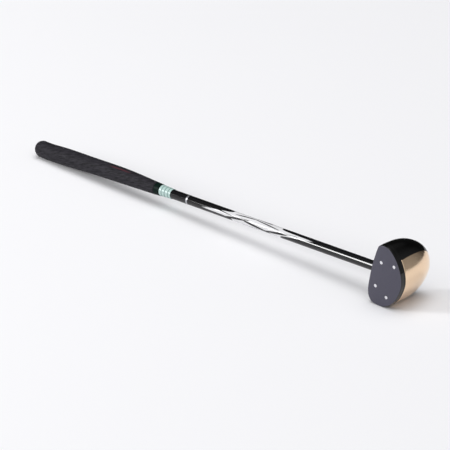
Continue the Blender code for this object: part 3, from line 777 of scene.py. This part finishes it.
# %% [markdown]
# ## The neck ferrule
# A ferrule hides the glue where the shaft enters the crown. It is acetate, turned and
# wiped with a solvent: black and glossy, with duller patches that the cloth left.
# The same sleeve function draws it, with two finer grooves near its top.

# %% Neck ferrule
acetate, tree, shader = finish("turned_black_acetate", 0.15, base="#0c0c0e")
where = add(tree, "ShaderNodeTexCoord")
lathe = add(tree, "ShaderNodeTexNoise", {   # patches of 1 mm
    "Vector": where.outputs["Object"], "Scale": 900.0})
rough = add(tree, "ShaderNodeMapRange", {"Value": lathe.outputs["Fac"], "To Min": 0.08,
                                         "To Max": 0.26})
tree.links.new(rough.outputs["Result"], shader.inputs["Roughness"])
FERRULE_LENGTH = 0.0140   # above the crown
FERRULE_TOP = 0.0166
ferrule_length = FERRULE_SEAT + FERRULE_LENGTH
grooves = [(ferrule_length * share, 0.0008, 0.0004) for share in (0.72, 0.82)]
grid, _, _ = turned(sleeve(-FERRULE_SEAT, ferrule_length, FERRULE_FOOT, FERRULE_TOP,
                           grooves=grooves, steps=120))
dress(surface("neck_ferrule_turned", grid, acetate, wrap_rows=True), "black_acetate",
      "neck_ferrule")

# %% [markdown]
# ## The grip
# The grip is moulded rubber, thicker towards the butt, with its middle a little below
# the shaft's line there. Its skin is a curve through a few stations, with a rounded end.
#
# Its matt skin has faint paler streaks that wind round it at a slant. To draw them, each
# point keeps a second place, turned about the grip's line in step with its distance along
# it. A noise that is stretched along that line there comes out wound on the real one.

# %% Grip rubber
rubber, tree, shader = finish("moulded_charcoal_rubber", 0.6, Specular_IOR_Level=0.14)
wound = add(tree, "ShaderNodeAttribute", attribute_name="wound")
where = add(tree, "ShaderNodeTexCoord")
stretched = add(tree, "ShaderNodeMapping", {"Vector": wound.outputs["Vector"],
                                            "Scale": (85.0, 520.0, 520.0)})   # 12 mm by 2 mm
streaks = add(tree, "ShaderNodeTexNoise", {"Vector": stretched.outputs["Vector"], "Scale": 1.0,
                                           "Detail": 4.0, "Roughness": 0.65})
contrast = add(tree, "ShaderNodeMapRange", {"Value": streaks.outputs["Fac"], "From Min": 0.36,
                                            "From Max": 0.68})
tone = add(tree, "ShaderNodeMix", {"Factor": contrast.outputs["Result"], 6: colour("#141317"),
                                   7: colour("#36343a")}, data_type="RGBA")
line = add(tree, "ShaderNodeAttribute", attribute_name="red_line")
lined = add(tree, "ShaderNodeMix", {"Factor": line.outputs["Fac"], 6: tone.outputs[2],
                                    7: colour("#4d2830")}, data_type="RGBA")
tree.links.new(lined.outputs[2], shader.inputs["Base Color"])
skin = add(tree, "ShaderNodeTexNoise", {   # grain of the mould, 1 mm
    "Vector": where.outputs["Object"], "Scale": 900.0})
grain = add(tree, "ShaderNodeBump", {"Height": skin.outputs["Fac"], "Strength": 0.35,
                                     "Distance": 0.0002})
relief = add(tree, "ShaderNodeBump", {"Height": streaks.outputs["Fac"], "Strength": 0.5,
                                      "Distance": 0.0004, "Normal": grain.outputs["Normal"]})
tree.links.new(relief.outputs["Normal"], shader.inputs["Normal"])
print("finish:", rubber.name)

# %% Grip
GRIP_LENGTH = 0.2897
GRIP_END_ROUNDING = 0.0140
GRIP_CAP = 0.0125
GRIP_LIP = 0.0010         # rounding of the mouth
TAPE_THICKNESS = 0.0005
GRIP_BORE = SLEEVE_RADIUS + TAPE_THICKNESS + GAP
GRIP_VENT = 0.0015        # radius of the small hole in the end
STATIONS = np.array([        # above the mouth, radius, drop below the shaft's line
    (0.0, 0.0102, 0.0), (0.0700, 0.01265, -0.0009), (0.1576, 0.0135, 0.0003),
    (0.2260, 0.01445, 0.0020), (0.2600, 0.01405, 0.0030), (GRIP_LENGTH, 0.01405, 0.0022)])


def grip_skin(height):
    """Radius and drop at each height: cubic pieces between stations, an elliptic end.

    Each piece leaves a station with the slope of the line through its neighbours.
    """
    at, values = STATIONS[:, 0], STATIONS[:, 1:]
    slopes = np.gradient(values, at, axis=0)
    slopes[-1] = 0.0
    i = np.clip(np.searchsorted(at, height) - 1, 0, len(at) - 2)
    span = (at[i + 1] - at[i])[:, None]
    t = (height - at[i])[:, None] / span
    curve = ((1 + 2 * t) * (1 - t) ** 2 * values[i] + t * (1 - t) ** 2 * span * slopes[i]
             + t * t * (3 - 2 * t) * values[i + 1] + t * t * (t - 1) * span * slopes[i + 1])
    into_end = np.clip((height - GRIP_LENGTH + GRIP_END_ROUNDING) / GRIP_END_ROUNDING, 0.0, 1.0)
    return curve[:, 0] * np.sqrt(1 - into_end ** 2), curve[:, 1]


end_from = GRIP_LENGTH - GRIP_END_ROUNDING
height = np.concatenate([np.linspace(GRIP_LIP, end_from, 260, endpoint=False),
                         end_from + GRIP_END_ROUNDING * np.sin(np.radians(np.linspace(0, 84, 26)))])
radius, drop = grip_skin(height)
radius = np.concatenate([[STATIONS[0, 1] - GRIP_LIP], radius, [GRIP_VENT, GRIP_VENT, GRIP_BORE, GRIP_BORE]])
drop = np.concatenate([[0.0], drop, [STATIONS[-1, 2], 0.0, 0.0, 0.0]])
cavity = GRIP_LENGTH - GRIP_CAP
height = np.concatenate([[0.0], height, [GRIP_LENGTH, cavity, cavity, 0.0]])
along, angle = np.meshgrid(GRIP_START + height, np.linspace(0.0, math.tau, 192, endpoint=False),
                           indexing="ij")
grid = on_shaft(along, radius[:, None] + 0 * angle, angle, drop[:, None] + 0 * angle)

# %% Red line and winding
LINE_MIDDLE, LINE_LENGTH, LINE_WIDTH, LINE_ANGLE = 0.560, 0.026, 0.0016, math.radians(18.0)
line_off = np.maximum(np.abs(along - LINE_MIDDLE) / (LINE_LENGTH / 2),
                      np.abs(angle - LINE_ANGLE) * STATIONS[1, 1] / (LINE_WIDTH / 2))
WINDING = math.radians(13.0)     # slant of the streaks to the grip's line
wound_angle = angle - along * math.tan(WINDING) / STATIONS[2, 1]
wound_place = np.stack([along, radius[:, None] * np.cos(wound_angle),
                        radius[:, None] * np.sin(wound_angle)], axis=-1)
grip = surface("grip_rubber", grid, rubber, wrap_rows=True, wound=wound_place,
               red_line=np.clip(2.0 - line_off, 0.0, 1.0))
dress(grip, "charcoal_rubber", "grip_sleeve")

# %% [markdown]
# ## Pieces that stay inside
# Two plugs and the tape never show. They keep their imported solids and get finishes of
# their own, for a reader who takes the club apart: moulded nylon, milky and slightly
# cloudy, and creped paper, dull, with the fine ridges that let it stretch.

# %% Finishes of the inner pieces
nylon, tree, shader = finish("moulded_pale_nylon", 0.55)
where = add(tree, "ShaderNodeTexCoord")
cloud = add(tree, "ShaderNodeTexNoise", {   # clouds of 3 mm
    "Vector": where.outputs["Object"], "Scale": 300.0})
tone = add(tree, "ShaderNodeMix", {"Factor": cloud.outputs["Fac"], 6: colour("#cdc6b0"),
                                   7: colour("#d8d3c2")}, data_type="RGBA")
tree.links.new(tone.outputs[2], shader.inputs["Base Color"])

paper, tree, shader = finish("creped_paper_tape", 0.85)
where = add(tree, "ShaderNodeTexCoord")
crepe = add(tree, "ShaderNodeTexNoise", {   # ridges of 1 mm
    "Vector": where.outputs["Object"], "Scale": 900.0})
tone = add(tree, "ShaderNodeMix", {"Factor": crepe.outputs["Fac"], 6: colour("#bfb28e"),
                                   7: colour("#ded5b8")}, data_type="RGBA")
tree.links.new(tone.outputs[2], shader.inputs["Base Color"])
relief = add(tree, "ShaderNodeBump", {"Height": crepe.outputs["Fac"], "Strength": 0.4,
                                      "Distance": 0.0003})
tree.links.new(relief.outputs["Normal"], shader.inputs["Normal"])
print("finishes:", nylon.name, paper.name)

# %% A finish for every solid, the hidden ones too
for solid, made in (("shaft_tip_plug", nylon), ("shaft_butt_plug", nylon), ("grip_tape", paper),
                    ("head_body", lacquer), ("brass_sole", brass), ("face_plate", satin),
                    ("face_screw_crown_toe", steel), ("face_screw_crown_heel", steel),
                    ("face_screw_sole_toe", steel), ("face_screw_sole_heel", steel),
                    ("neck_ferrule", acetate), ("shaft_tube", paint), ("trim_ring", silver),
                    ("grip_collar", mint), ("grip_mouth_ring", green), ("grip_sleeve", rubber)):
    frame["nodes"][solid].data.materials.clear()
    frame["nodes"][solid].data.materials.append(made)
print("finished", len(frame["nodes"]), "solids")

# %% [markdown]
# ## Floor and light
# The club lies on a pale sheet in a plain studio: one wide soft lamp overhead and a low
# narrow one at the left, which draws the thin bright line along the gloss black shaft.
# The background is pale because the sheet is. A glow in its material would fill the
# shadows too, and the head would seem to float.

# %% Floor
sheet, tree, shader = finish("pale_backdrop", 0.9, base="#f7f7f9", Specular_IOR_Level=0.0)
floor_mesh = bpy.data.meshes.new("floor")
reach = 15.0              # half its width, in metres
floor_mesh.from_pydata([(-reach, -reach, 0), (reach, -reach, 0), (reach, reach, 0),
                        (-reach, reach, 0)], [], [(0, 1, 2, 3)])
floor_mesh.materials.append(sheet)
floor = bpy.data.objects.new("floor", floor_mesh)
bpy.context.scene.collection.objects.link(floor)
print("floor:", 2 * reach, "m wide")


# %% Lamps
def lamp(name, place, aim, width, height, watts):
    """A rectangular lamp at a place, in metres, that shines at aim."""
    light = bpy.data.lights.new(name, "AREA")
    light.shape = "RECTANGLE"
    light.size, light.size_y, light.energy = width, height, watts
    holder = bpy.data.objects.new(name, light)
    bpy.context.scene.collection.objects.link(holder)
    holder.location = place
    holder.rotation_euler = (Vector(place) - Vector(aim)).to_track_quat("Z", "Y").to_euler()
    return holder


lamp("overhead_softbox", (0.0, 0.0, 6.0), (0.0, 0.0, 0.0), 2.4, 2.4, 36.0)
lamp("left_softbox", (-3.46, -4.29, 2.45), (0.0, 0.0, 0.0), 0.95, 2.6, 190.0)

# %% [markdown]
# ## The room
# Gloss black and brass show little but the room round them, so the room matters as much
# as the lamps. Five soft patches of a world shader stand for its walls and ceiling. Each
# row of the table is a direction, where its patch starts and ends, and how bright it gets.

# %% World
world = bpy.data.worlds.new("studio")
bpy.context.scene.world = world
world.use_nodes = True
tree = world.node_tree
where = add(tree, "ShaderNodeTexCoord")
direction = add(tree, "ShaderNodeSeparateXYZ", {0: where.outputs["Generated"]})
LEFT = (-0.62, -0.66, 0.42)
towards_left = add(tree, "ShaderNodeVectorMath", {0: where.outputs["Generated"], 1: LEFT},
                   operation="DOT_PRODUCT")
FRONT = (0.60, -0.70, 0.38)
towards_front = add(tree, "ShaderNodeVectorMath", {0: where.outputs["Generated"], 1: FRONT},
                    operation="DOT_PRODUCT")
parts = []
for value, start, end, low, high in (
        (direction.outputs["Z"], 0.55, 0.85, 0.03, 0.20),    # dark walls, a little lighter above
        (direction.outputs["Z"], 0.80, 0.97, 0.0, 1.9),      # bright ceiling
        (direction.outputs["X"], 0.20, 0.80, 0.0, 0.28),     # wall on the right
        (towards_left.outputs["Value"], 0.60, 0.97, 0.0, 0.12),   # glow round the left softbox
        (towards_front.outputs["Value"], 0.30, 0.90, 0.0, 0.35)):  # pale wall before the face
    parts.append(add(tree, "ShaderNodeMapRange", {
        "Value": value, "From Min": start, "From Max": end, "To Min": low, "To Max": high},
        interpolation_type="SMOOTHSTEP").outputs["Result"])
total = parts[0]
for part in parts[1:]:
    total = add(tree, "ShaderNodeMath", {0: total, 1: part}).outputs["Value"]
tree.links.new(total, tree.nodes["Background"].inputs["Strength"])
tree.nodes["Background"].inputs["Color"].default_value = colour("#fefeff")
print("room:", len(parts), "patches of light")

# %% [markdown]
# ## The camera
# A long lens, 45 degrees round from the face and 24 degrees up. Its place is given from
# the middle of the crown line at the face, so it stays right if the club is moved.

# %% Camera
AZIMUTH, ELEVATION = math.radians(44.95), math.radians(24.15)
FOCAL_PIXELS, PICTURE_PIXELS = 2361.0, 450.0
FROM_HEAD = Vector((2.0297, -2.3343, 1.4548))
away = Vector((math.sin(AZIMUTH) * math.cos(ELEVATION),
               -math.cos(AZIMUTH) * math.cos(ELEVATION), math.sin(ELEVATION)))
lens = bpy.data.cameras.new("photo_view")
lens.sensor_width = 36.0
lens.lens = FOCAL_PIXELS / PICTURE_PIXELS * lens.sensor_width
lens.clip_start, lens.clip_end = 0.05, 50.0
camera = bpy.data.objects.new("photo_view", lens)
bpy.context.scene.collection.objects.link(camera)
head_origin = crown_point + SHAFT_TO_HEEL * to_toe - SHAFT_SETBACK * to_back
camera.location = Vector(head_origin) + FROM_HEAD
camera.rotation_euler = away.to_track_quat("Z", "Y").to_euler()
bpy.context.scene.camera = camera
bpy.context.scene.view_settings.view_transform = "Standard"
print("lens:", round(lens.lens, 1), "mm at", round(FROM_HEAD.length, 2), "m")
